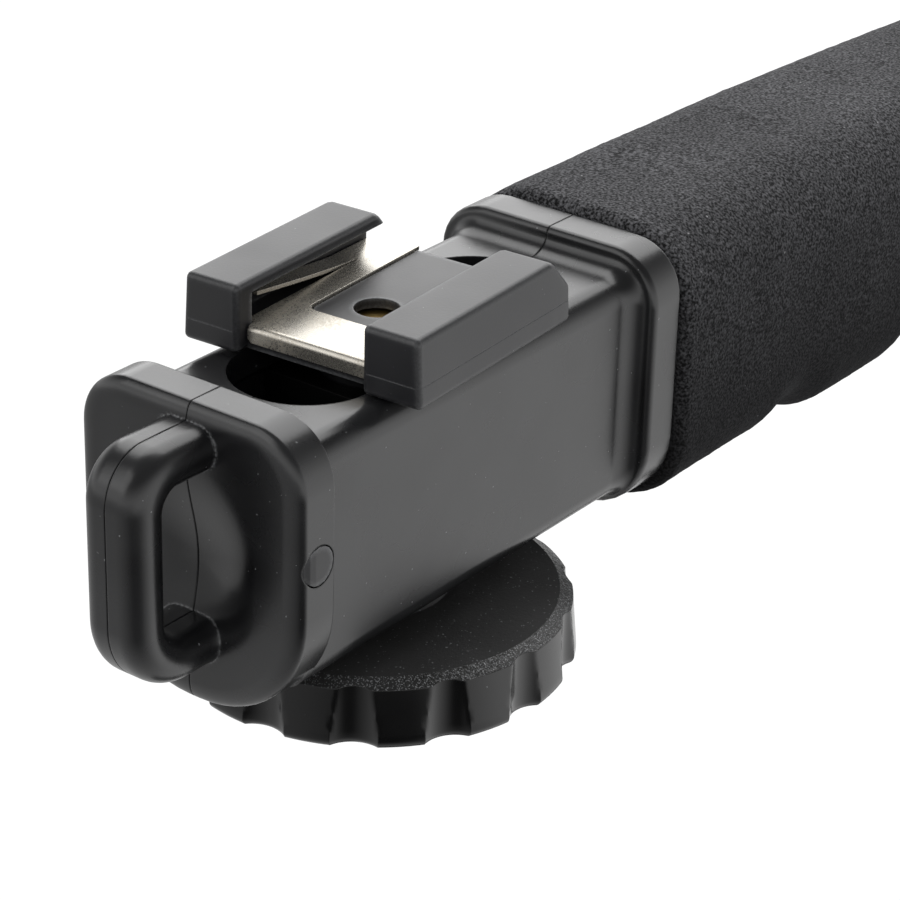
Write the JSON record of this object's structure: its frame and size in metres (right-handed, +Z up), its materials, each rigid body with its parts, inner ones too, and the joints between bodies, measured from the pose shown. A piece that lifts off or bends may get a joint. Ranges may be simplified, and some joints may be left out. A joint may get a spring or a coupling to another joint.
{
  "type": "camera stabilizer grip",
  "caption": "C-shaped handheld camera grip with a foam handle, a sliding, swivelling accessory shoe with a clamping knob, and a captive camera screw on its slotted platform",
  "frame": {"origin": "middle of the bounding box along X and Y, on the surface that the feet stand on", "axes": "+X from the open end with the strap loop to the spine, +Y to the left side, +Z up from the platform to the foam grip"},
  "size_m": [0.2096, 0.05, 0.1863],
  "materials": {
    "black_plastic": "black ABS moulded with a satin face",
    "shoe_plastic": "charcoal ABS moulded with a fine matte grain",
    "knob_plastic": "black ABS, matte on its face and glossy round its fluted rim",
    "inner_plastic": "black moulded nylon",
    "foam": "black closed-cell foam with an open-grained skin",
    "nickel": "nickel-plated spring steel with fine scratches",
    "brass": "turned brass",
    "steel": "zinc-plated steel",
    "rubber": "black rubber"
  },
  "bodies": {
    "frame": {"shell_left": "black_plastic", "shell_right": "black_plastic", "foam_grip": "foam", "platform_pad_left": "rubber", "platform_pad_right": "rubber", "foot_front_left": "rubber", "foot_front_right": "rubber", "foot_rear_left": "rubber", "foot_rear_right": "rubber", "case_screw_flange": "steel", "case_screw_upper_bend": "steel", "case_screw_spine": "steel", "case_screw_lower_bend": "steel", "case_screw_platform_front": "steel", "case_screw_platform_rear": "steel", "screw_plug_flange": "black_plastic", "screw_plug_upper_bend": "black_plastic", "screw_plug_spine": "black_plastic", "screw_plug_lower_bend": "black_plastic", "screw_plug_platform_front": "black_plastic", "screw_plug_platform_rear": "black_plastic"},
    "shoe_carriage": {"shoe_spacer": "inner_plastic"},
    "shoe": {"shoe_body": "shoe_plastic", "shoe_spring_plate": "nickel", "shoe_insert": "brass"},
    "shoe_screw_carriage": {"shoe_washer": "inner_plastic"},
    "shoe_screw": {"shoe_knob": "knob_plastic", "shoe_knob_cap": "knob_plastic", "shoe_stud": "brass"},
    "camera_carriage": {"camera_guide": "inner_plastic"},
    "camera_screw_carriage": {"camera_washer": "inner_plastic"},
    "camera_screw": {"camera_knob": "knob_plastic", "camera_knob_cap": "knob_plastic", "camera_stud": "steel", "camera_clip": "steel"}
  },
  "joints": [
    {"name": "shoe_slide", "type": "slide", "parent": "frame", "child": "shoe_carriage", "axis": [1, 0, 0], "range_m": [-0.0018, 0.009]},
    {"name": "shoe_swivel", "type": "hinge", "parent": "shoe_carriage", "child": "shoe", "pos_m": [-0.07103, 0.0004, 0.18015], "axis": [0, 0, 1], "range_deg": [-180, 180]},
    {"name": "shoe_knob_drop", "type": "slide", "parent": "shoe_carriage", "child": "shoe_screw_carriage", "axis": [0, 0, -1], "range_m": [0, 0.0038]},
    {"name": "shoe_knob_turn", "type": "hinge", "parent": "shoe_screw_carriage", "child": "shoe_screw", "pos_m": [-0.07103, 0.0004, 0.1574], "axis": [0, 0, -1], "range_deg": [0, 1080]},
    {"name": "camera_slide", "type": "slide", "parent": "frame", "child": "camera_carriage", "axis": [1, 0, 0], "range_m": [-0.03, 0.042]},
    {"name": "camera_screw_lift", "type": "slide", "parent": "camera_carriage", "child": "camera_screw_carriage", "axis": [0, 0, 1], "range_m": [0, 0.003]},
    {"name": "camera_screw_turn", "type": "hinge", "parent": "camera_screw_carriage", "child": "camera_screw", "pos_m": [-0.00918, 0, 0.0089], "axis": [0, 0, 1], "continuous": true}
  ],
  "couplings": [
    {"joint": "shoe_knob_turn", "follows": "shoe_knob_drop", "rad_per_m": 4947.4}
  ]
}
